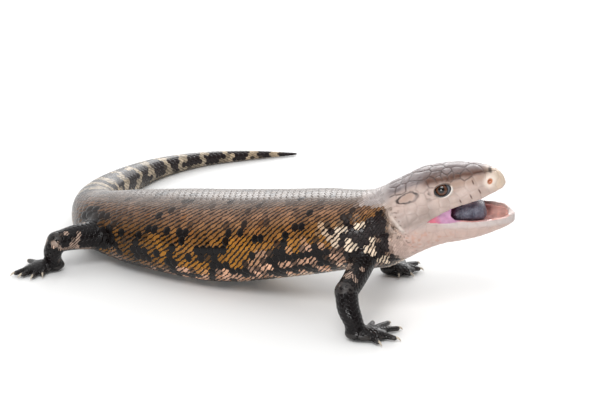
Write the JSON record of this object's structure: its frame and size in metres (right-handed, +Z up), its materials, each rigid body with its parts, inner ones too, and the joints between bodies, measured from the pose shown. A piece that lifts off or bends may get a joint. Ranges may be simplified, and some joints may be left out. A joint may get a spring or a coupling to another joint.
{
  "type": "blue-tongued skink",
  "caption": "Still life-size lizard with a long smooth-scaled body, short legs, a tail swept round to one side and a raised head whose open mouth shows a broad tongue.",
  "frame": {"origin": "on the floor under the middle of the animal's bounding box", "axes": "+X along the trunk towards the head, +Y to the animal's left, +Z up"},
  "size_m": [0.3224, 0.2892, 0.0908],
  "materials": {
    "head_skin": "satin scaly skin, greyish tan with a pale throat",
    "body_skin": "glossy overlapping scales, golden brown mottled with black",
    "tail_skin": "glossy scales in dark and cream bands",
    "leg_skin": "glossy black scales with pale spots",
    "tongue_flesh": "moist slate blue",
    "eye_ball": "wet, red-brown iris and black pupil"
  },
  "bodies": {
    "root": {"head": "head_skin", "lower_jaw": "head_skin", "tongue": "tongue_flesh", "eye_left": "eye_ball", "eye_right": "eye_ball", "shoulders": "body_skin", "chest": "body_skin", "belly": "body_skin", "hips": "body_skin", "tail_base": "tail_skin", "tail_bend": "tail_skin", "tail_middle": "tail_skin", "tail_end": "tail_skin", "right_upper_arm": "leg_skin", "right_forearm": "leg_skin", "right_hand": "leg_skin", "left_upper_arm": "leg_skin", "left_forearm": "leg_skin", "left_hand": "leg_skin", "right_thigh": "leg_skin", "right_shank": "leg_skin", "right_foot": "leg_skin", "left_thigh": "leg_skin", "left_shank": "leg_skin", "left_foot": "leg_skin"}
  },
  "joints": []
}
